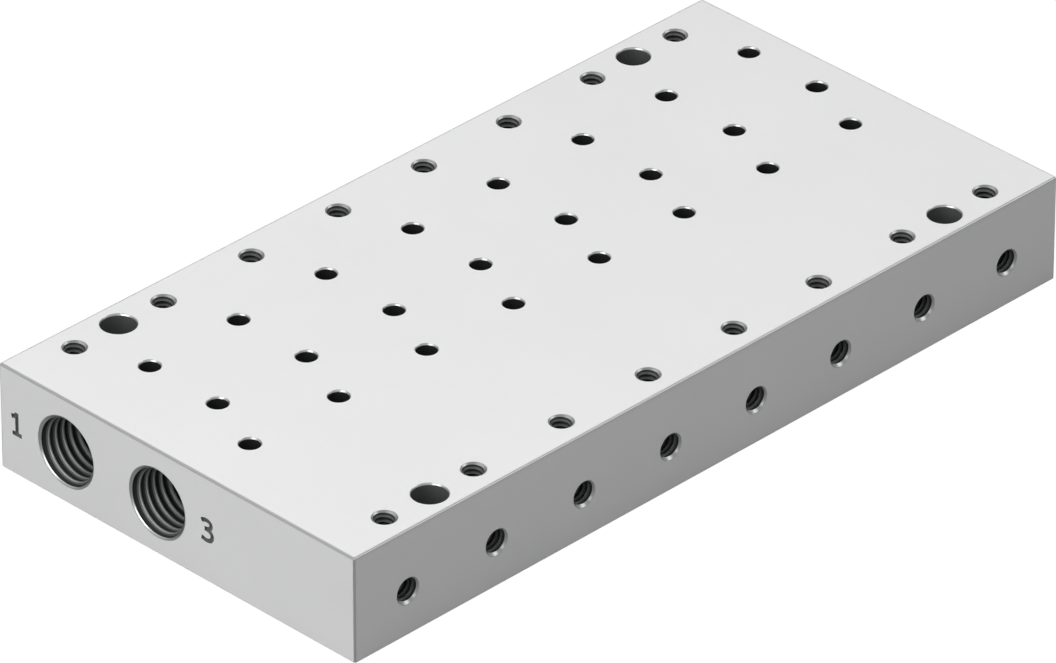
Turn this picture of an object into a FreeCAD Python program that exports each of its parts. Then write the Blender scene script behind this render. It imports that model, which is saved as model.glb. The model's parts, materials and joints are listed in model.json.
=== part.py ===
import FreeCAD, Part
import Sketcher
import os

# Valve manifold rail: one aluminium block that carries a row of valves on its top face.
# Two long channels, drilled from one end, serve every valve, and each valve's outlet leaves
# through the side face. The threads aren't modelled: a tapped hole has its tapping size.
# The origin is at the middle of the bottom face. +X runs along the rail, away from the end
# whose ports are numbered, -Y is the outlet side and +Z is up.

NODE = "manifold_rail"

# Driving dimensions in millimetres, and degrees for the drill point
SIZES = [
    ("stations", 8, "valves side by side"),
    ("station_pitch", 21, "from one valve to the next"),
    ("end_margin", 12.5, "from the block's end to the first valve's screws"),
    ("screw_spacing", 75.5, "between a valve's two screws, across the rail"),
    ("side_margin", 5.5, "from the block's side to a row of screws"),
    ("block_height", 21, "bottom to top face"),
    ("edge_break", 0.4, "chamfer on every outside edge"),
    ("screw_drill", 3.3, "tapping size of the valves' screw holes"),
    ("screw_floor", 2, "metal between a screw hole and the outlet below it"),
    ("fixing_spacing", 75.8, "between the two fixing holes of a pair, across the rail"),
    ("fixing_bore_near", 6.6, "fixing holes at the numbered end"),
    ("fixing_bore_far", 6.2, "fixing holes at the other end"),
    ("passage_bore", 4, "passages from the top face"),
    ("passage_shift", 5, "rows 1 and 3 of the passages lie this far along from the screws"),
    ("passage_one_reach", 62.1, "row 1 of the passages, from the outlet side's screws"),
    ("passage_three_reach", 45.4, "row 3 of the passages, from the same screws"),
    ("passage_two_reach", 32.4, "row 2 of the passages, from the same screws"),
    ("channel_three_reach", 42.2, "axis of channel 3, from the same screws"),
    ("channel_spacing", 22.5, "from channel 3 to channel 1"),
    ("channel_level", 10.25, "axes of the channels above the bottom"),
    ("channel_bore", 11, "channels behind their ports"),
    ("channel_overrun", 0.3, "full bore of a channel past the last passage that it meets"),
    ("port_drill", 11.8, "tapping size of the channels' ports"),
    ("port_depth", 13, "depth of the tapping size in a port"),
    ("drill_angle", 118, "angle of the step from a port down to its channel"),
    ("port_break", 0.9, "chamfer at a port's mouth"),
    ("outlet_level", 8.8, "axes of the outlets above the bottom"),
    ("outlet_drill", 4.2, "tapping size of the outlets, drilled on to row 2 of the passages"),
    ("outlet_break", 0.5, "chamfer at an outlet's mouth"),
    ("well_overrun", 0.3, "depth of row 2 of the passages past the outlets' bore"),
]

# Lengths and places that follow from the driving dimensions, as expressions
PATTERN_LENGTH = "((Sizes.stations - 1) * Sizes.station_pitch)"
LENGTH = f"({PATTERN_LENGTH} + 2 * Sizes.end_margin)"
WIDTH = "(Sizes.screw_spacing + 2 * Sizes.side_margin)"
HEIGHT = "Sizes.block_height"
SCREW_X = f"(-{PATTERN_LENGTH} / 2)"
SCREW_Y = "(Sizes.screw_spacing / 2)"
PASSAGE_X = f"({SCREW_X} + Sizes.passage_shift)"
NEAR_FIXING_X = f"({SCREW_X} + Sizes.station_pitch / 2)"
FAR_FIXING_X = f"(-{NEAR_FIXING_X})"
SCREW_DEPTH = f"({HEIGHT} - Sizes.outlet_level - Sizes.outlet_drill / 2 - Sizes.screw_floor)"
OUTLET_DEPTH = "(Sizes.side_margin + Sizes.passage_two_reach)"
CHANNEL_DROP = f"({HEIGHT} - Sizes.channel_level)"
OUTLET_DROP = f"({HEIGHT} - Sizes.outlet_level + Sizes.outlet_drill / 2 + Sizes.well_overrun)"

# The sketch's own axes, as its constraints number them
H_AXIS, V_AXIS = -1, -2


def from_screws(reach):
    """Y of a row or an axis, from its distance to the outlet side's screws."""
    return f"(Sizes.{reach} - {SCREW_Y})"


def make_sizes(doc):
    sheet = doc.addObject("Spreadsheet::Sheet", "Sizes")
    for row, (name, value, meaning) in enumerate(SIZES, start=1):
        sheet.set(f"A{row}", meaning)
        sheet.set(f"B{row}", str(value))
        sheet.setAlias(f"B{row}", name)
    doc.recompute()


def origin_feature(body, role):
    return next(f for f in body.Origin.OriginFeatures if f.Role == role)


def set_sizes(feature, **expressions):
    for name, expression in expressions.items():
        feature.setExpression(name, expression)


def make_sketch(body, name, plane, **offset):
    """A sketch on one of the body's own planes, moved along the sketch's x, y and z."""
    sketch = body.newObject("Sketcher::SketchObject", name)
    sketch.AttachmentSupport = (origin_feature(body, plane), [""])
    sketch.MapMode = "FlatFace"
    for axis, expression in offset.items():
        sketch.setExpression(f"AttachmentOffset.Base.{axis}", expression)
    return sketch


def bind(sketch, constraint, expression):
    index = sketch.addConstraint(constraint)
    sketch.setExpression(f"Constraints[{index}]", expression)


def bind_point(sketch, geometry, point, x, y):
    """Tie a point to its place, where a 0 puts it on the sketch's own axis."""
    if x == "0":
        sketch.addConstraint(Sketcher.Constraint("PointOnObject", geometry, point, V_AXIS))
    else:
        bind(sketch, Sketcher.Constraint("DistanceX", -1, 1, geometry, point, 1.0), x)
    if y == "0":
        sketch.addConstraint(Sketcher.Constraint("PointOnObject", geometry, point, H_AXIS))
    else:
        bind(sketch, Sketcher.Constraint("DistanceY", -1, 1, geometry, point, 1.0), y)


def add_circle(sketch, x, y, diameter):
    """A circle with expressions for its centre and diameter; it starts as a first guess."""
    first_guess = Part.Circle(FreeCAD.Vector(1, 1, 0), FreeCAD.Vector(0, 0, 1), 1)
    circle = sketch.addGeometry(first_guess, False)
    # a circle's centre is its point 3
    bind_point(sketch, circle, 3, x, y)
    bind(sketch, Sketcher.Constraint("Diameter", circle, 2.0), diameter)


def add_outline(sketch, corners):
    """A closed outline of straight lines, with expressions for each corner's x and y.

    A line starts at its point 1 and ends at its point 2.
    """
    count = len(corners)
    first_guess = [FreeCAD.Vector(i + 1, i * i + 1, 0) for i in range(count)]
    lines = []
    for i in range(count):
        line = Part.LineSegment(first_guess[i], first_guess[(i + 1) % count])
        lines.append(sketch.addGeometry(line, False))
    for i, line in enumerate(lines):
        following = lines[(i + 1) % count]
        sketch.addConstraint(Sketcher.Constraint("Coincident", line, 2, following, 1))
    for line, (x, y) in zip(lines, corners):
        bind_point(sketch, line, 1, x, y)


def make_holes(body, name, sketch, diameter, depth=None, mouth_break=None):
    """Flat-ended holes at a sketch's circles, through if no depth is given, chamfered if asked for."""
    body.Document.recompute()
    hole = body.newObject("PartDesign::Hole", name)
    hole.Profile = sketch
    body.Document.recompute()
    hole.DrillPoint = "Flat"
    set_sizes(hole, Diameter=diameter)
    if depth:
        hole.DepthType = "Dimension"
        set_sizes(hole, Depth=depth)
    else:
        hole.DepthType = "ThroughAll"
    if mouth_break:
        hole.HoleCutType = "Countersink"
        hole.HoleCutCountersinkAngle = 90
        set_sizes(hole, HoleCutDiameter=f"{diameter} + 2 * {mouth_break}")
    body.Document.recompute()
    return hole


def repeat(body, name, original, axis, length, count):
    pattern = body.newObject("PartDesign::LinearPattern", name)
    pattern.Originals = [original]
    pattern.Direction = (origin_feature(body, axis), [""])
    set_sizes(pattern, Length=length, Occurrences=count)
    body.Tip = pattern
    body.Document.recompute()


def repeat_at_stations(body, name, original):
    repeat(body, name, original, "X_Axis", PATTERN_LENGTH, "Sizes.stations")


def make_block(body):
    """The milled block, with every outside edge broken."""
    outline = make_sketch(body, "BlockOutline", "XY_Plane")
    right, back = f"{LENGTH} / 2", f"{WIDTH} / 2"
    left, front = f"-{right}", f"-{back}"
    add_outline(outline, [(left, front), (right, front), (right, back), (left, back)])
    body.Document.recompute()
    block = body.newObject("PartDesign::Pad", "Block")
    block.Profile = outline
    set_sizes(block, Length=HEIGHT)
    body.Document.recompute()
    broken = body.newObject("PartDesign::Chamfer", "BrokenEdges")
    broken.Base = (block, [f"Edge{i + 1}" for i in range(len(block.Shape.Edges))])
    set_sizes(broken, Size="Sizes.edge_break")
    body.Document.recompute()


def make_channels(body):
    """Channels 3 and 1, drilled from the numbered end, with a chamfered tapping size as their port."""
    outline = make_sketch(
        body,
        "ChannelOutline",
        "XY_Plane",
        y=from_screws("channel_three_reach"),
        z="Sizes.channel_level",
    )
    port_radius = "(Sizes.port_drill / 2)"
    channel_radius = "(Sizes.channel_bore / 2)"
    mouth = f"(-{LENGTH} / 2)"
    port_foot = f"({mouth} + Sizes.port_depth)"
    channel_start = f"({port_foot} + ({port_radius} - {channel_radius}) / tan(Sizes.drill_angle / 2))"
    channel_end = f"(-{SCREW_X} + Sizes.passage_shift + Sizes.passage_bore / 2 + Sizes.channel_overrun)"
    add_outline(
        outline,
        [
            (mouth, "0"),
            (mouth, f"({port_radius} + Sizes.port_break)"),
            (f"({mouth} + Sizes.port_break)", port_radius),
            (port_foot, port_radius),
            (channel_start, channel_radius),
            (channel_end, channel_radius),
            (channel_end, "0"),
        ],
    )
    body.Document.recompute()
    channel = body.newObject("PartDesign::Groove", "ChannelThree")
    channel.Profile = outline
    channel.ReferenceAxis = (outline, ["H_Axis"])
    channel.Angle = 360
    body.Document.recompute()
    repeat(body, "Channels", channel, "Y_Axis", "Sizes.channel_spacing", "2")


def make_fixing_holes(body):
    """A pair of plain holes right through the block near each end."""
    pairs = {
        "NearFixingHoles": (NEAR_FIXING_X, "Sizes.fixing_bore_near"),
        "FarFixingHoles": (FAR_FIXING_X, "Sizes.fixing_bore_far"),
    }
    for name, (x, bore) in pairs.items():
        circles = make_sketch(body, f"{name}Circles", "XY_Plane", z=HEIGHT)
        for side in ("-", ""):
            add_circle(circles, x, f"{side}Sizes.fixing_spacing / 2", bore)
        make_holes(body, name, circles, bore)


def make_screw_holes(body):
    """The tapped holes that hold the valves down, two to a station."""
    circles = make_sketch(body, "ScrewCircles", "XY_Plane", z=HEIGHT)
    for side in ("-", ""):
        add_circle(circles, SCREW_X, f"{side}{SCREW_Y}", "Sizes.screw_drill")
    holes = make_holes(body, "ScrewHoles", circles, "Sizes.screw_drill", SCREW_DEPTH)
    repeat_at_stations(body, "AllScrewHoles", holes)


def make_passages(body):
    """Rows 1 and 3 drop into their channels, and row 2 drops to just below the outlets."""
    rows = {
        "ChannelPassages": (PASSAGE_X, ["passage_one_reach", "passage_three_reach"], CHANNEL_DROP),
        "OutletPassages": (SCREW_X, ["passage_two_reach"], OUTLET_DROP),
    }
    for name, (x, reaches, depth) in rows.items():
        circles = make_sketch(body, f"{name}Circles", "XY_Plane", z=HEIGHT)
        for reach in reaches:
            add_circle(circles, x, from_screws(reach), "Sizes.passage_bore")
        holes = make_holes(body, name, circles, "Sizes.passage_bore", depth)
        repeat_at_stations(body, f"All{name}", holes)


def make_outlets(body):
    """The tapped outlets in the side face, drilled on to the axis of row 2 of the passages."""
    circle = make_sketch(body, "OutletCircle", "XZ_Plane", z=f"{WIDTH} / 2")
    add_circle(circle, SCREW_X, "Sizes.outlet_level", "Sizes.outlet_drill")
    outlet = make_holes(
        body, "Outlet", circle, "Sizes.outlet_drill", OUTLET_DEPTH, "Sizes.outlet_break"
    )
    repeat_at_stations(body, "AllOutlets", outlet)


def check_model(doc, body):
    """Stop at a failed object, a cut that removed nothing, or a shape that isn't one valid solid."""
    for item in doc.Objects:
        if {"Invalid", "Error"} & set(item.State):
            raise RuntimeError(f"{item.Name} failed: {item.State}")
    steps = [f for f in body.Group if f.isDerivedFrom("PartDesign::Feature")]
    for before, after in zip(steps, steps[1:]):
        removed = before.Shape.Volume - after.Shape.Volume
        print(f"{after.Name} removes {removed:.1f} mm3")
        if removed <= 0:
            raise RuntimeError(f"{after.Name} cuts nothing")
    shape = body.Shape
    if shape.isNull() or not shape.isValid() or len(shape.Solids) != 1:
        raise RuntimeError(f"{body.Label} isn't one valid solid")
    box = shape.BoundBox
    print(f"{body.Label}: {box.XLength:.2f} x {box.YLength:.2f} x {box.ZLength:.2f} mm")
    print(f"{body.Label}: {shape.Volume:.1f} mm3, {len(shape.Faces)} faces")


def main():
    doc = FreeCAD.newDocument("ManifoldRail")
    make_sizes(doc)
    body = doc.addObject("PartDesign::Body", "ManifoldRail")
    body.Label = NODE
    doc.recompute()
    make_block(body)
    make_channels(body)
    make_fixing_holes(body)
    make_screw_holes(body)
    make_passages(body)
    make_outlets(body)
    check_model(doc, body)
    os.makedirs("parts", exist_ok=True)
    body.Shape.exportStep(os.path.join("parts", f"{body.Label}.step"))


main()
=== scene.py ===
import json
import math

import bpy
import bmesh
from mathutils import Matrix, Vector

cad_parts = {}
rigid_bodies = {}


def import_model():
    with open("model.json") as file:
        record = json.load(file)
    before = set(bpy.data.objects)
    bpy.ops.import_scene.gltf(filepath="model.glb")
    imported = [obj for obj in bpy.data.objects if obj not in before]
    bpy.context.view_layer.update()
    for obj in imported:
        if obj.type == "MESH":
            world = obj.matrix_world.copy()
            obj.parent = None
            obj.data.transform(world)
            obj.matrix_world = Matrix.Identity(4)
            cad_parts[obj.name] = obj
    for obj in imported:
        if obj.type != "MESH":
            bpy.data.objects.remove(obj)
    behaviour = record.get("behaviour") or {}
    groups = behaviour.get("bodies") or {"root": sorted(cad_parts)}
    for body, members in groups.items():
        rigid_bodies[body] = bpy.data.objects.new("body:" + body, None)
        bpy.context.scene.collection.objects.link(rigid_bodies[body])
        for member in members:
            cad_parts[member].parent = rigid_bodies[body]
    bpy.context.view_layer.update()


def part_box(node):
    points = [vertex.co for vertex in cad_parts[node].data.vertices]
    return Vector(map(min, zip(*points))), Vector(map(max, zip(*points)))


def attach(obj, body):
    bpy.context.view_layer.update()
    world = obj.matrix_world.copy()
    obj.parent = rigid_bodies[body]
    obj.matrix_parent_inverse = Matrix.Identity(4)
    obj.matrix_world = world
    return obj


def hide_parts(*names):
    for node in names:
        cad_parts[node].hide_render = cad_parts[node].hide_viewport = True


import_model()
scene = bpy.context.scene
mm = 0.001

# +X runs along the rail, away from the numbered end. -Y is the outlet side and +Z is up.
low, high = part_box("manifold_rail")
print("stage: frame loaded")


# the camera, as it stands in the photograph
cameraSizes = {
    "azimuth": 45.116,  # degrees from looking along +Y, towards +X
    "elevation": 32.189,  # degrees above the horizon
    "distance": 2098.5 * mm,
    "slideRight": -1.13 * mm,
    "slideUp": -1.97 * mm,
    "sensor": 36.0,
    "lens": 413.2,
}


def makeCamera(sizes):
    azimuth, elevation = math.radians(sizes["azimuth"]), math.radians(sizes["elevation"])
    forward = Vector((math.sin(azimuth), math.cos(azimuth), -math.tan(elevation))).normalized()
    right = forward.cross(Vector((0, 0, 1))).normalized()
    up = right.cross(forward)
    data = bpy.data.cameras.new("camera")
    data.sensor_fit = "HORIZONTAL"
    data.sensor_width = sizes["sensor"]
    data.lens = sizes["lens"]
    data.clip_end = 20
    camera = bpy.data.objects.new("camera", data)
    scene.collection.objects.link(camera)
    middle = (low + high) / 2
    camera.location = (
        middle - forward * sizes["distance"] + right * sizes["slideRight"] + up * sizes["slideUp"]
    )
    camera.rotation_euler = forward.to_track_quat("-Z", "Y").to_euler()
    scene.camera = camera


makeCamera(cameraSizes)
print("stage: camera placed")


# shader groups that several finishes share
def newGroup(name, inputs, outputs):
    group = bpy.data.node_groups.new(name, "ShaderNodeTree")
    for label, kind, value in inputs:
        socket = group.interface.new_socket(label, in_out="INPUT", socket_type=kind)
        socket.default_value = value
    for label, kind in outputs:
        group.interface.new_socket(label, in_out="OUTPUT", socket_type=kind)
    return group, group.nodes.new("NodeGroupInput"), group.nodes.new("NodeGroupOutput")


def addNode(tree, kind, settings=None, values=None):
    node = tree.nodes.new(kind)
    for name, value in (settings or {}).items():
        setattr(node, name, value)
    for name, value in (values or {}).items():
        node.inputs[name].default_value = value
    return node


def makeGrainGroup():
    # fine blasted grain: a value round 0.5 for colour and roughness, and its height for the bump
    group, given, out = newGroup(
        "blastedGrain",
        [("Grain Size", "NodeSocketFloat", 0.3), ("Cloud Size", "NodeSocketFloat", 20.0)],
        [("Grain", "NodeSocketFloat"), ("Cloud", "NodeSocketFloat")],
    )
    place = addNode(group, "ShaderNodeTexCoord")
    for size, output, detail in (("Grain Size", "Grain", 2.0), ("Cloud Size", "Cloud", 3.0)):
        scale = addNode(group, "ShaderNodeMath", {"operation": "DIVIDE"})
        scale.inputs[0].default_value = 1000.0
        group.links.new(given.outputs[size], scale.inputs[1])
        noise = addNode(group, "ShaderNodeTexNoise", None, {"Detail": detail, "Roughness": 0.55})
        group.links.new(place.outputs["Object"], noise.inputs["Vector"])
        group.links.new(scale.outputs[0], noise.inputs["Scale"])
        group.links.new(noise.outputs["Fac"], out.inputs[output])
    return group


def makeToolMarkGroup():
    # lines left by the cutter, spread along one axis of the object
    group, given, out = newGroup(
        "toolMarks",
        [
            ("Spread", "NodeSocketVector", (1.0, 1.0, 1.0)),
            ("Line Size", "NodeSocketFloat", 0.2),
        ],
        [("Lines", "NodeSocketFloat")],
    )
    place = addNode(group, "ShaderNodeTexCoord")
    spread = addNode(group, "ShaderNodeVectorMath", {"operation": "MULTIPLY"})
    group.links.new(place.outputs["Object"], spread.inputs[0])
    group.links.new(given.outputs["Spread"], spread.inputs[1])
    scale = addNode(group, "ShaderNodeMath", {"operation": "DIVIDE"})
    scale.inputs[0].default_value = 1000.0
    group.links.new(given.outputs["Line Size"], scale.inputs[1])
    noise = addNode(group, "ShaderNodeTexNoise", None, {"Detail": 2.0, "Roughness": 0.6})
    group.links.new(spread.outputs[0], noise.inputs["Vector"])
    group.links.new(scale.outputs[0], noise.inputs["Scale"])
    group.links.new(noise.outputs["Fac"], out.inputs["Lines"])
    return group


grainGroup = makeGrainGroup()
toolMarkGroup = makeToolMarkGroup()

# the finishes of the block: its milled faces, edges, chamfers, bores, threads and digits. Grain, clouds
# and cutter lines are sized in millimetres, and a spread is how far a value strays to either side
finishes = {
    "milledFace": {
        "color": (0.80, 0.80, 0.80),
        "metallic": 0.25,
        "roughness": 0.44,
        "colorSpread": 0.03,
        "roughnessSpread": 0.10,
        "grainSize": 0.35,
        "cloudSize": 30.0,
        "lineSpread": (0.02, 1.0, 1.0),
        "lineSize": 0.25,
        "bumpDistance": 0.004 * mm,
    },
    "brokenEdge": {
        "color": (0.72, 0.73, 0.725),
        "metallic": 1.0,
        "roughness": 0.34,
        "colorSpread": 0.03,
        "roughnessSpread": 0.03,
        "grainSize": 0.6,
        "cloudSize": 20.0,
        "lineSpread": (1.0, 1.0, 1.0),
        "lineSize": 1.5,
        "bumpDistance": 0.0001 * mm,
    },
    "cutChamfer": {
        "color": (0.60, 0.61, 0.605),
        "metallic": 1.0,
        "roughness": 0.32,
        "colorSpread": 0.04,
        "roughnessSpread": 0.05,
        "grainSize": 0.3,
        "cloudSize": 8.0,
        "lineSpread": (1.0, 1.0, 1.0),
        "lineSize": 0.3,
        "bumpDistance": 0.001 * mm,
    },
    # drilled bore walls are coloured dark grey as painted shade inside the holes
    "drilledBorePaintedShade": {
        "color": (0.12, 0.127, 0.123),
        "metallic": 0.4,
        "roughness": 0.5,
        "colorSpread": 0.06,
        "roughnessSpread": 0.10,
        "grainSize": 0.3,
        "cloudSize": 6.0,
        "lineSpread": (1.0, 1.0, 0.05),
        "lineSize": 0.3,
        "bumpDistance": 0.006 * mm,
    },
    # passage walls are coloured near black as painted shade inside the narrow holes
    "passageBorePaintedShade": {
        "color": (0.022, 0.024, 0.023),
        "metallic": 0.3,
        "roughness": 0.5,
        "colorSpread": 0.08,
        "roughnessSpread": 0.10,
        "grainSize": 0.3,
        "cloudSize": 6.0,
        "lineSpread": (1.0, 1.0, 0.05),
        "lineSize": 0.3,
        "bumpDistance": 0.006 * mm,
    },
    # the thread's crests are coloured light as a painted highlight
    "threadCrestPaintedHighlight": {
        "color": (0.50, 0.51, 0.505),
        "metallic": 0.7,
        "roughness": 0.34,
        "colorSpread": 0.04,
        "roughnessSpread": 0.06,
        "grainSize": 0.3,
        "cloudSize": 6.0,
        "lineSpread": (1.0, 1.0, 1.0),
        "lineSize": 0.3,
        "bumpDistance": 0.002 * mm,
    },
    # the thread's flanks are coloured dark as painted shade
    "threadFlankPaintedShade": {
        "color": (0.10, 0.104, 0.102),
        "metallic": 0.6,
        "roughness": 0.45,
        "colorSpread": 0.06,
        "roughnessSpread": 0.06,
        "grainSize": 0.3,
        "cloudSize": 6.0,
        "lineSpread": (1.0, 1.0, 1.0),
        "lineSize": 0.3,
        "bumpDistance": 0.003 * mm,
    },
    # the thread's roots are coloured near black as painted shade in the grooves
    "threadRootPaintedShade": {
        "color": (0.02, 0.022, 0.021),
        "metallic": 0.4,
        "roughness": 0.5,
        "colorSpread": 0.08,
        "roughnessSpread": 0.06,
        "grainSize": 0.3,
        "cloudSize": 6.0,
        "lineSpread": (1.0, 1.0, 1.0),
        "lineSize": 0.3,
        "bumpDistance": 0.003 * mm,
    },
    # the engraved digits' walls and floors are coloured dark as painted shade in the engraving
    "engravedDigitPaintedShade": {
        "color": (0.17, 0.18, 0.175),
        "metallic": 0.4,
        "roughness": 0.45,
        "colorSpread": 0.06,
        "roughnessSpread": 0.08,
        "grainSize": 0.2,
        "cloudSize": 4.0,
        "lineSpread": (1.0, 1.0, 1.0),
        "lineSize": 0.2,
        "bumpDistance": 0.003 * mm,
    },
}
finishOrder = list(finishes)


def makeFinish(name, look):
    material = bpy.data.materials.new(name)
    material.use_nodes = True
    tree = material.node_tree
    shader = tree.nodes["Principled BSDF"]
    shader.inputs["Metallic"].default_value = look["metallic"]
    grain = addNode(
        tree,
        "ShaderNodeGroup",
        {"node_tree": grainGroup},
        {"Grain Size": look["grainSize"], "Cloud Size": look["cloudSize"]},
    )
    lines = addNode(
        tree,
        "ShaderNodeGroup",
        {"node_tree": toolMarkGroup},
        {"Spread": look["lineSpread"], "Line Size": look["lineSize"]},
    )
    shade = addNode(
        tree,
        "ShaderNodeMapRange",
        None,
        {"To Min": 1 - look["colorSpread"], "To Max": 1 + look["colorSpread"]},
    )
    tree.links.new(grain.outputs["Cloud"], shade.inputs["Value"])
    tint = addNode(tree, "ShaderNodeVectorMath", {"operation": "SCALE"})
    tint.inputs[0].default_value = look["color"]
    tree.links.new(shade.outputs["Result"], tint.inputs["Scale"])
    tree.links.new(tint.outputs[0], shader.inputs["Base Color"])
    rough = addNode(
        tree,
        "ShaderNodeMapRange",
        None,
        {
            "To Min": look["roughness"] - look["roughnessSpread"],
            "To Max": look["roughness"] + look["roughnessSpread"],
        },
    )
    tree.links.new(lines.outputs["Lines"], rough.inputs["Value"])
    tree.links.new(rough.outputs["Result"], shader.inputs["Roughness"])
    height = addNode(tree, "ShaderNodeMath", {"operation": "ADD"})
    tree.links.new(grain.outputs["Grain"], height.inputs[0])
    tree.links.new(lines.outputs["Lines"], height.inputs[1])
    bump = addNode(tree, "ShaderNodeBump", None, {"Distance": look["bumpDistance"]})
    tree.links.new(height.outputs[0], bump.inputs["Height"])
    tree.links.new(bump.outputs["Normal"], shader.inputs["Normal"])
    return material


finishMaterials = [makeFinish(name, look) for name, look in finishes.items()]
print("stage: finishes made")


# the block itself, before anything is cut from it
blockSizes = {
    "edgeRound": 0.34 * mm,
    "edgeSteps": 4,
    "flatAbove": 0.9999,  # a face square to an axis is a milled one
    "sharpAngle": 35.0,
    "outsideMargin": 0.002 * mm,
}


def newPiece(name, mesh):
    piece = bpy.data.objects.new(name, mesh)
    scene.collection.objects.link(piece)
    return piece


def meshFrom(name, bm):
    bmesh.ops.recalc_face_normals(bm, faces=bm.faces)
    mesh = bpy.data.meshes.new(name)
    bm.to_mesh(mesh)
    bm.free()
    for material in finishMaterials:
        mesh.materials.append(material)
    return mesh


def makeBlock(sizes):
    bm = bmesh.new()
    bmesh.ops.create_cube(bm, size=1)
    bmesh.ops.scale(bm, vec=high - low, verts=bm.verts)
    bmesh.ops.translate(bm, vec=(low + high) / 2, verts=bm.verts)
    bmesh.ops.bevel(
        bm,
        geom=bm.edges[:] + bm.verts[:],
        offset=sizes["edgeRound"],
        segments=sizes["edgeSteps"],
        profile=0.5,
        affect="EDGES",
    )
    bm.normal_update()
    for face in bm.faces:
        if max(abs(part) for part in face.normal) < sizes["flatAbove"] and face.normal.z > -0.01:
            face.material_index = finishOrder.index("brokenEdge")
    return newPiece("railBlock", meshFrom("railBlock", bm))


# where the holes are, with distances in millimetres as a maker would mark them out
layout = {
    "stations": 8,
    "pitch": 21.0,
    "firstStation": 12.5,  # from the numbered end to the first valve's screws
    "screwRows": 75.5,  # between the two rows of screws
    "fixingRows": 75.8,
    "passageShift": 5.0,
    "passageRowOne": 62.1,  # from the outlet side's screws
    "passageRowThree": 45.4,
    "passageRowTwo": 32.4,
    "channelThree": 42.2,
    "channelOne": 64.7,
    "channelLevel": 10.25,
    "outletLevel": 8.8,
}


def stationX(index, shift=0.0):
    return low.x + (layout["firstStation"] + index * layout["pitch"] + shift) * mm


def fromScrews(reach):
    return (reach - layout["screwRows"] / 2) * mm


# an upright hole's mouth is turned to open upwards, to the outlet side or to the numbered end
openUp = Matrix.Identity(4)
openToSide = Matrix.Rotation(math.radians(90), 4, "X")
openToEnd = Matrix.Rotation(math.radians(-90), 4, "Y")


def topPlace(x, y):
    return Matrix.Translation((x, y, high.z)) @ openUp


def sidePlace(x):
    return Matrix.Translation((x, low.y, low.z + layout["outletLevel"] * mm)) @ openToSide


def endPlace(y):
    return Matrix.Translation((low.x, y, low.z + layout["channelLevel"] * mm)) @ openToEnd


def pointAround(place, radius, turn, depth):
    # turns run clockwise for someone who looks into the hole, as a right-hand thread does
    angle = -2 * math.pi * turn
    return place @ (Vector((radius * math.cos(angle), radius * math.sin(angle), -depth)) * mm)


def addRing(bm, place, radius, depth, count):
    return [bm.verts.new(pointAround(place, radius, i / count, depth)) for i in range(count)]


def addFace(bm, corners, finish):
    face = bm.faces.new(corners)
    face.material_index = finishOrder.index(finish)


def addEnd(bm, place, ring, finish, point):
    # a flat end, or a drill's point at the depth that is given
    if point is None:
        addFace(bm, ring, finish)
        return
    tip = bm.verts.new(pointAround(place, 0, 0, point))
    for i, corner in enumerate(ring):
        addFace(bm, (corner, ring[(i + 1) % len(ring)], tip), finish)


def addTurned(bm, place, profile, finish, count, point=None):
    # profile: radius and depth of each ring, from the mouth inwards
    rings = [addRing(bm, place, radius, depth, count) for radius, depth in profile]
    for upper, lower in zip(rings, rings[1:]):
        for i in range(count):
            j = (i + 1) % count
            addFace(bm, (upper[i], upper[j], lower[j], lower[i]), finish)
    addFace(bm, rings[0], finish)
    addEnd(bm, place, rings[-1], finish, point)


# one turn of a thread, from root to root, going inwards: share of a turn, share of the thread's
# depth that is cut away, and the finish from there to the next; that finish is a painted highlight on
# the crests and painted shade on the flanks and in the roots
threadForms = {
    "metric": [
        (0.0, 1.0, "threadRootPaintedShade"),
        (0.14, 1.0, "threadRootPaintedShade"),
        (0.34, 0.5, "threadFlankPaintedShade"),
        (0.50, 0.0, "threadCrestPaintedHighlight"),
        (0.68, 0.0, "threadRootPaintedShade"),
    ],
    "rounded": [
        (0.0, 1.0, "threadRootPaintedShade"),
        (0.24, 0.93, "threadRootPaintedShade"),
        (0.46, 0.55, "threadFlankPaintedShade"),
        (0.58, 0.20, "threadCrestPaintedHighlight"),
        (0.67, 0.03, "threadCrestPaintedHighlight"),
        (0.75, 0.0, "threadCrestPaintedHighlight"),
        (0.82, 0.05, "threadRootPaintedShade"),
        (0.92, 0.75, "threadRootPaintedShade"),
    ],
}


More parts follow.
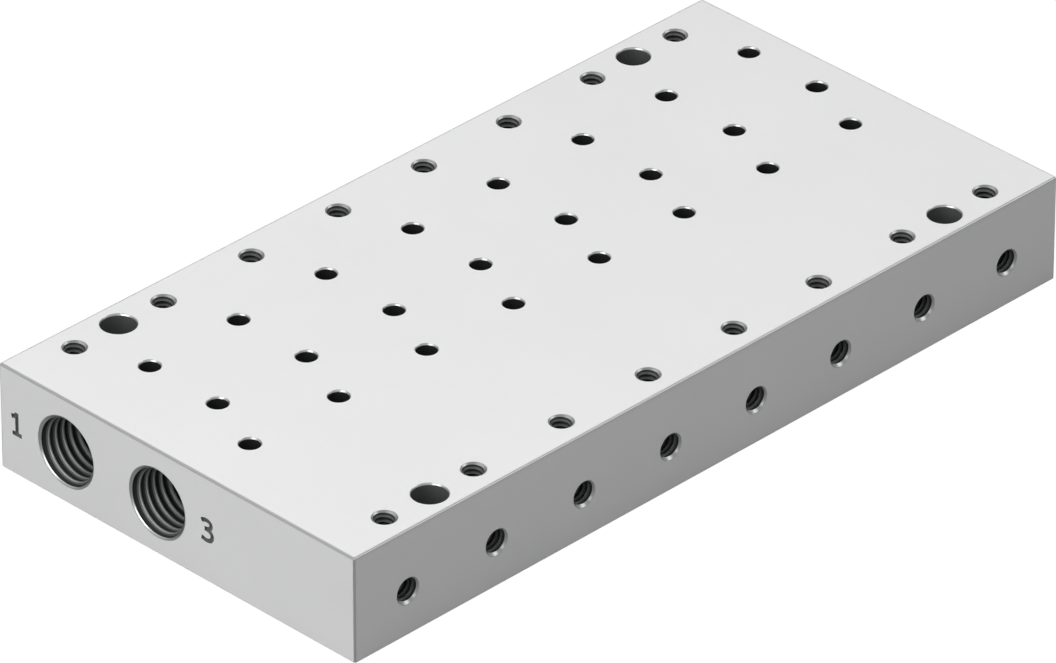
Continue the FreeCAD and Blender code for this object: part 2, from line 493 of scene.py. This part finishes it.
def addThreaded(bm, place, thread):
    # rows of points follow the helix, so crests and roots stay clean lines
    form = threadForms[thread["form"]]
    count, pitch = thread["steps"], thread["crestSpacing"]
    minor, cutDepth = thread["minorRadius"], thread["majorRadius"] - thread["minorRadius"]
    start = -1.5 * pitch  # above the mouth
    turns = math.ceil((thread["threadEnd"] - start) / pitch) + 1
    levels = [(turn + share, deep) for turn in range(turns) for share, deep, _ in form]

    def threadPoint(level, deep, i):
        along = start + (level + i / count) * pitch
        fade = min(max((thread["threadEnd"] - along) / thread["runout"], 0), 1)
        radius = minor + cutDepth * deep * fade
        return bm.verts.new(pointAround(place, radius, i / count, along))

    rows = [[threadPoint(level, deep, i) for i in range(count)] for level, deep in levels]
    # a row ends where the row one turn further down begins
    for number, row in enumerate(rows):
        below = number + len(form)
        row.append(rows[below][0] if below < len(rows) else threadPoint(*levels[number], count))
    for number, (upper, lower) in enumerate(zip(rows, rows[1:])):
        finish = form[number % len(form)][2]
        for i in range(count):
            addFace(bm, (upper[i], upper[i + 1], lower[i + 1], lower[i]), finish)
    # the top is closed outside the block, and steps down by one turn along its seam
    topEdge = rows[0] + [row[0] for row in reversed(rows[1 : len(form)])]
    addEnd(bm, place, topEdge, "threadRootPaintedShade", start)
    # the bottom steps down in the same way, to the plain bore below the thread
    bottom, ring = rows[-1], addRing(bm, place, minor, thread["boreEnd"], count)
    for i in range(1, count):
        addFace(bm, (bottom[i], bottom[i + 1], ring[(i + 1) % count], ring[i]), "drilledBorePaintedShade")
    seam = [row[count] for row in reversed(rows[-len(form) :])]
    addFace(bm, [bottom[1], ring[1], ring[0]] + seam + [bottom[0]], "drilledBorePaintedShade")
    addEnd(bm, place, ring, "drilledBorePaintedShade", thread["point"])


print("stage: helpers ready")

# how the holes are cut, in millimetres; a thread's crests are as far apart as the photograph shows
cuts = {
    "above": 0.1,  # a rim's tool starts this far outside the face
    "clear": 0.02,  # and this far outside the rim
    "within": 0.2,  # a chamfer's tool goes this far on inside the hole
    "rimWidth": 0.24,
    "rimDepth": 0.42,
    "rimAngles": (12, 32, 55, 78),
    "chamferAngles": (6, 20, 34, 45),
    "steps": 64,
    "passage": 1.9,
    "fixingNear": 3.21,
    "fixingFar": 3.01,
    "channel": 5.5,
    "channelStart": 12.0,  # inside the port, so that the channel's own end face is cut away
    "channelEnd": 166.8,
    "passageDepth": 10.75,
    "wellDepth": 14.6,
}

threads = {
    "port": {
        "form": "rounded",
        "minorRadius": 5.9,
        "majorRadius": 6.58,
        "rimRadius": 6.8,
        "rimRounding": 0.4,
        "chamferDepth": 0.9,
        "crestSpacing": 1.71,
        "threadEnd": 9.5,
        "runout": 2.0,
        "boreEnd": 13.0,
        "point": 16.545,
        "steps": 96,
    },
    "outlet": {
        "form": "metric",
        "minorRadius": 2.1,
        "majorRadius": 2.5,
        "rimRadius": 2.6,
        "rimRounding": 0.15,
        "chamferDepth": 0.5,
        "crestSpacing": 1.12,
        "threadEnd": 7.5,
        "runout": 1.1,
        "boreEnd": 37.9,
        "point": None,
        "steps": 56,
    },
    "screw": {
        "form": "metric",
        "minorRadius": 1.65,
        "majorRadius": 2.0,
        "rimRadius": 2.27,
        "rimRounding": 0.15,
        "chamferDepth": 0.45,
        "crestSpacing": 0.98,
        "threadEnd": 5.0,
        "runout": 1.0,
        "boreEnd": 8.1,
        "point": 9.0,
        "steps": 48,
    },
}


def holePlaces():
    stations = range(layout["stations"])
    valveScrews = [
        topPlace(stationX(i), side * layout["screwRows"] / 2 * mm) for i in stations for side in (-1, 1)
    ]
    fixingX = layout["firstStation"] + layout["pitch"] / 2
    fixingY = layout["fixingRows"] / 2 * mm
    shift = layout["passageShift"]
    return {
        "port": [endPlace(fromScrews(layout[reach])) for reach in ("channelOne", "channelThree")],
        "outlet": [sidePlace(stationX(i)) for i in stations],
        "screw": valveScrews,
        "fixingNear": [topPlace(low.x + fixingX * mm, side * fixingY) for side in (-1, 1)],
        "fixingFar": [topPlace(high.x - fixingX * mm, side * fixingY) for side in (-1, 1)],
        "channelPassage": [
            topPlace(stationX(i, shift), fromScrews(layout[reach]))
            for i in stations
            for reach in ("passageRowOne", "passageRowThree")
        ],
        "wellPassage": [topPlace(stationX(i), fromScrews(layout["passageRowTwo"])) for i in stations],
    }


def addMouth(bm, place, thread):
    # a rounding from the face into a cone at 45 degrees, which ends inside the hole
    rounding, depth = thread["rimRounding"], thread["chamferDepth"]
    outer = thread["rimRadius"] + rounding * math.tan(math.radians(22.5))
    profile = [(outer + cuts["clear"], -cuts["above"])]
    for angle in cuts["chamferAngles"]:
        turned = math.radians(angle)
        profile.append((outer - rounding * math.sin(turned), rounding * (1 - math.cos(turned))))
    profile.append((thread["rimRadius"] - depth - cuts["within"], depth + cuts["within"]))
    addTurned(bm, place, profile, "cutChamfer", thread["steps"])


def addRoundedRim(bm, place, bore):
    # a small rounding that runs from the face into a plain bore
    width, depth = cuts["rimWidth"], cuts["rimDepth"]
    profile = [(bore + width + cuts["clear"], -cuts["above"])]
    for angle in cuts["rimAngles"]:
        turned = math.radians(angle)
        profile.append((bore + width * (1 - math.sin(turned)), depth * (1 - math.cos(turned))))
    profile.append((bore - cuts["above"], depth + cuts["above"]))
    addTurned(bm, place, profile, "brokenEdge", cuts["steps"])


def makeCutters(places):
    # each group's holes lie clear of one another, so one cut takes the whole group
    height = (high.z - low.z) / mm
    mouths, tapped, channels, passages = (bmesh.new() for _ in range(4))
    for name, thread in threads.items():
        for place in places[name]:
            addMouth(mouths, place, thread)
            addThreaded(tapped, place, thread)
    turnOver = Matrix.Rotation(math.pi, 4, "X")
    for name in ("fixingNear", "fixingFar"):
        for place in places[name]:
            bottom = Matrix.Translation((place.translation.x, place.translation.y, low.z)) @ turnOver
            addRoundedRim(mouths, place, cuts[name])
            addRoundedRim(mouths, bottom, cuts[name])
            profile = [(cuts[name], -1), (cuts[name], height + 1)]
            addTurned(channels, place, profile, "drilledBorePaintedShade", cuts["steps"])
    for name, depth, group in (
        ("channelPassage", cuts["passageDepth"], passages),
        ("wellPassage", cuts["wellDepth"], channels),
    ):
        for place in places[name]:
            addRoundedRim(mouths, place, cuts["passage"])
            profile = [(cuts["passage"], -1), (cuts["passage"], depth)]
            addTurned(group, place, profile, "passageBorePaintedShade", cuts["steps"])
    for place in places["port"]:
        radius = cuts["channel"]
        profile = [(radius, cuts["channelStart"]), (radius, cuts["channelEnd"])]
        addTurned(channels, place, profile, "drilledBorePaintedShade", cuts["steps"])
    return {"mouths": mouths, "tapped": tapped, "channels": channels, "passages": passages}


def cutAway(piece, groups):
    # every group goes in at once, so rims that meet are worked out together; the tools are thrown away
    tools = bpy.data.collections.new("cutters")
    scene.collection.children.link(tools)
    for name, bm in groups.items():
        tools.objects.link(bpy.data.objects.new(name, meshFrom(name, bm)))
    cut = piece.modifiers.new("cut", "BOOLEAN")
    cut.operation = "DIFFERENCE"
    cut.solver = "EXACT"
    cut.material_mode = "INDEX"
    cut.operand_type = "COLLECTION"
    cut.collection = tools
    ready = piece.evaluated_get(bpy.context.evaluated_depsgraph_get())
    mesh = bpy.data.meshes.new_from_object(ready)
    before = piece.data
    piece.modifiers.clear()
    piece.data = mesh
    bpy.data.meshes.remove(before)
    for tool in list(tools.objects):
        bpy.data.objects.remove(tool)
    bpy.data.collections.remove(tools)
    print("cut:", len(mesh.polygons), "faces")


# the two port numbers, as strokes in millimetres: across to the right as seen, then up
digitSizes = {
    "strokeWidth": 0.90,
    "floorWidth": 0.62,
    "depth": 0.45,
    "above": 0.1,  # the tool starts this far outside the face
    "pointsPerSpan": 4,
    "oneAt": (39.15, 10.33),  # y and z of a digit's centre
    "threeAt": (-7.85, 10.33),
}

digitStrokes = {
    "one": [
        [(-1.35, 1.30), (-0.62, 1.52), (0.0, 2.0)],
        [(0.0, 2.34), (0.0, -2.2)],
        [(-1.15, -2.0), (1.15, -2.0)],
    ],
    "three": [
        [(-1.5, 1.62), (-0.8, 1.93), (-0.1, 2.0), (0.65, 1.72), (0.86, 1.15), (0.5, 0.52), (-0.7, 0.2)],
        [(-0.7, 0.2), (0.35, 0.08), (1.02, -0.45), (1.1, -1.15), (0.6, -1.8), (-0.4, -2.0), (-1.5, -1.75)],
    ],
}


def smoothPath(points, perSpan):
    # a curve through every point, each span steered by the points on either side of it
    path = []
    for i in range(len(points) - 1):
        before, start = Vector(points[max(i - 1, 0)]), Vector(points[i])
        end, after = Vector(points[i + 1]), Vector(points[min(i + 2, len(points) - 1)])
        for step in range(perSpan):
            t = step / perSpan
            path.append(
                start
                + (end - before) * (t / 2)
                + (before * 2 - start * 5 + end * 4 - after) * (t * t / 2)
                + (start * 3 - before - end * 3 + after) * (t * t * t / 2)
            )
    return path + [Vector(points[-1])]


def strokeCutter(middle, points, sizes):
    path = smoothPath(points, sizes["pointsPerSpan"]) if len(points) > 2 else [Vector(p) for p in points]
    bm = bmesh.new()
    sections = []
    for i, at in enumerate(path):
        along = (path[min(i + 1, len(path) - 1)] - path[max(i - 1, 0)]).normalized()
        aside = Vector((-along.y, along.x))
        section = []
        for width, depth, side in (
            ("strokeWidth", -sizes["above"], -1),
            ("strokeWidth", -sizes["above"], 1),
            ("floorWidth", sizes["depth"], 1),
            ("floorWidth", sizes["depth"], -1),
        ):
            across, up = at + aside * (side * sizes[width] / 2)
            y, z = middle[0] - across, middle[1] + up
            section.append(bm.verts.new((low.x + depth * mm, y * mm, low.z + z * mm)))
        sections.append(section)
    for upper, lower in zip(sections, sections[1:]):
        for i in range(4):
            addFace(bm, (upper[i], upper[(i + 1) % 4], lower[(i + 1) % 4], lower[i]), "engravedDigitPaintedShade")
    addFace(bm, sections[0], "engravedDigitPaintedShade")
    addFace(bm, sections[-1], "engravedDigitPaintedShade")
    return bm


def digitCutters(sizes):
    cutters = {}
    for digit, strokes in digitStrokes.items():
        for number, points in enumerate(strokes):
            cutters[f"{digit}Stroke{number}"] = strokeCutter(sizes[f"{digit}At"], points, sizes)
    return cutters


def shadeRail(piece, sizes):
    # outside faces take the rounded block's own normals, and cut faces are smooth up to a limit angle
    mesh = piece.data
    bm = bmesh.new()
    bm.from_mesh(mesh)
    bmesh.ops.dissolve_degenerate(bm, dist=1e-7, edges=bm.edges)
    limit = math.radians(sizes["sharpAngle"])
    for face in bm.faces:
        face.smooth = True
    for edge in bm.edges:
        if len(edge.link_faces) == 2:
            first, second = edge.link_faces
            edge.smooth = (
                first.material_index == second.material_index and edge.calc_face_angle(0) < limit
            )
    bm.to_mesh(mesh)
    bm.free()
    inset = Vector((sizes["edgeRound"],) * 3)
    innerLow, innerHigh = low + inset, high - inset
    fromInside = []
    for vertex in mesh.vertices:
        nearest = Vector(min(max(a, b), c) for a, b, c in zip(vertex.co, innerLow, innerHigh))
        fromInside.append(vertex.co - nearest)
    onOutside = [abs(way.length - sizes["edgeRound"]) < sizes["outsideMargin"] for way in fromInside]
    normals = [corner.vector.copy() for corner in mesh.corner_normals]
    for polygon in mesh.polygons:
        if all(onOutside[vertex] for vertex in polygon.vertices):
            for loop in polygon.loop_indices:
                normals[loop] = fromInside[mesh.loops[loop].vertex_index].normalized()
    mesh.normals_split_custom_set(normals)


rail = makeBlock(blockSizes)
cutAway(rail, {**makeCutters(holePlaces()), **digitCutters(digitSizes)})
print("stage: holes and digits cut")

shadeRail(rail, blockSizes)
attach(rail, "root")
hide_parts("manifold_rail")
print("stage: rail finished")


# a pale floor that reads white behind the rail, as the photograph's ground does
stageSizes = {
    "floorSide": 6.0,
    "diffuseShade": 0.22,
    "whiteness": 1.06,
    "shadowShare": 0.06,
}


def isSeen(tree):
    # 1 for the camera, and 0 for the light that falls on the rail
    path = addNode(tree, "ShaderNodeLightPath")
    seen = addNode(tree, "ShaderNodeMath", {"operation": "MAXIMUM"})
    tree.links.new(path.outputs["Is Camera Ray"], seen.inputs[0])
    tree.links.new(path.outputs["Is Transmission Ray"], seen.inputs[1])
    return seen.outputs[0]


def makeFloor(sizes):
    bm = bmesh.new()
    bmesh.ops.create_grid(bm, x_segments=1, y_segments=1, size=sizes["floorSide"] / 2)
    bmesh.ops.translate(bm, vec=(0, 0, low.z), verts=bm.verts)
    mesh = bpy.data.meshes.new("studioFloor")
    bm.to_mesh(mesh)
    bm.free()
    floor = newPiece("studioFloor", mesh)
    material = bpy.data.materials.new("studioFloor")
    material.use_nodes = True
    tree = material.node_tree
    tree.nodes.remove(tree.nodes["Principled BSDF"])
    shade = sizes["diffuseShade"]
    dull = addNode(tree, "ShaderNodeBsdfDiffuse", None, {"Color": (shade, shade, shade, 1)})
    glow = addNode(tree, "ShaderNodeEmission", None, {"Strength": sizes["whiteness"]})
    share = addNode(tree, "ShaderNodeMath", {"operation": "MULTIPLY"})
    share.inputs[1].default_value = 1 - sizes["shadowShare"]
    tree.links.new(isSeen(tree), share.inputs[0])
    mix = addNode(tree, "ShaderNodeMixShader")
    tree.links.new(share.outputs[0], mix.inputs["Fac"])
    tree.links.new(dull.outputs[0], mix.inputs[1])
    tree.links.new(glow.outputs[0], mix.inputs[2])
    tree.links.new(mix.outputs[0], tree.nodes["Material Output"].inputs["Surface"])
    mesh.materials.append(material)


makeFloor(stageSizes)
print("stage: floor laid")


# soft studio light: lamps in metres from the rail's middle, and the room round them. A tint under 1
# takes some red away, and a lamp that doesn't reflect is left out of the metal's highlights
lamps = {
    "key": {"at": (-0.42, -0.05, 1.40), "size": 1.6, "power": 27.5, "tint": 1.0, "reflects": False},
    "end": {"at": (-1.5, -0.2, 0.5), "size": 1.2, "power": 11.8, "tint": 0.985, "reflects": True},
    "fill": {"at": (-0.6, -1.25, 0.7), "size": 0.5, "power": 0.7, "tint": 0.98, "reflects": True},
    "edge": {"at": (1.2, -1.06, 1.2), "size": 1.0, "power": 3.8, "tint": 0.98, "reflects": True},
    "rim": {"at": (-0.85, 0.85, 1.0), "size": 1.4, "power": 2.0, "tint": 1.0, "reflects": True},
}
room = {"light": 0.08, "reflected": 0.35}


def makeLamps(settings):
    middle = (low + high) / 2
    for name, lamp in settings.items():
        data = bpy.data.lights.new(name, "AREA")
        data.shape = "SQUARE"
        data.size = lamp["size"]
        data.energy = lamp["power"]
        data.color = (lamp["tint"], 1, (lamp["tint"] + 1) / 2)
        piece = newPiece(name, data)
        piece.visible_glossy = lamp["reflects"]
        piece.location = middle + Vector(lamp["at"])
        piece.rotation_euler = (-Vector(lamp["at"])).to_track_quat("-Z", "Y").to_euler()


def makeRoom(settings):
    world = bpy.data.worlds.new("room")
    scene.world = world
    world.use_nodes = True
    tree = world.node_tree
    path = addNode(tree, "ShaderNodeLightPath")
    dim = addNode(
        tree, "ShaderNodeMapRange", None, {"To Min": settings["light"], "To Max": settings["reflected"]}
    )
    tree.links.new(path.outputs["Is Glossy Ray"], dim.inputs["Value"])
    strength = addNode(tree, "ShaderNodeMapRange", None, {"To Max": 1.0})
    tree.links.new(isSeen(tree), strength.inputs["Value"])
    tree.links.new(dim.outputs["Result"], strength.inputs["To Min"])
    tree.nodes["Background"].inputs["Color"].default_value = (1, 1, 1, 1)
    tree.links.new(strength.outputs["Result"], tree.nodes["Background"].inputs["Strength"])


makeLamps(lamps)
makeRoom(room)
scene.view_settings.view_transform = "Standard"
print("stage: lit")
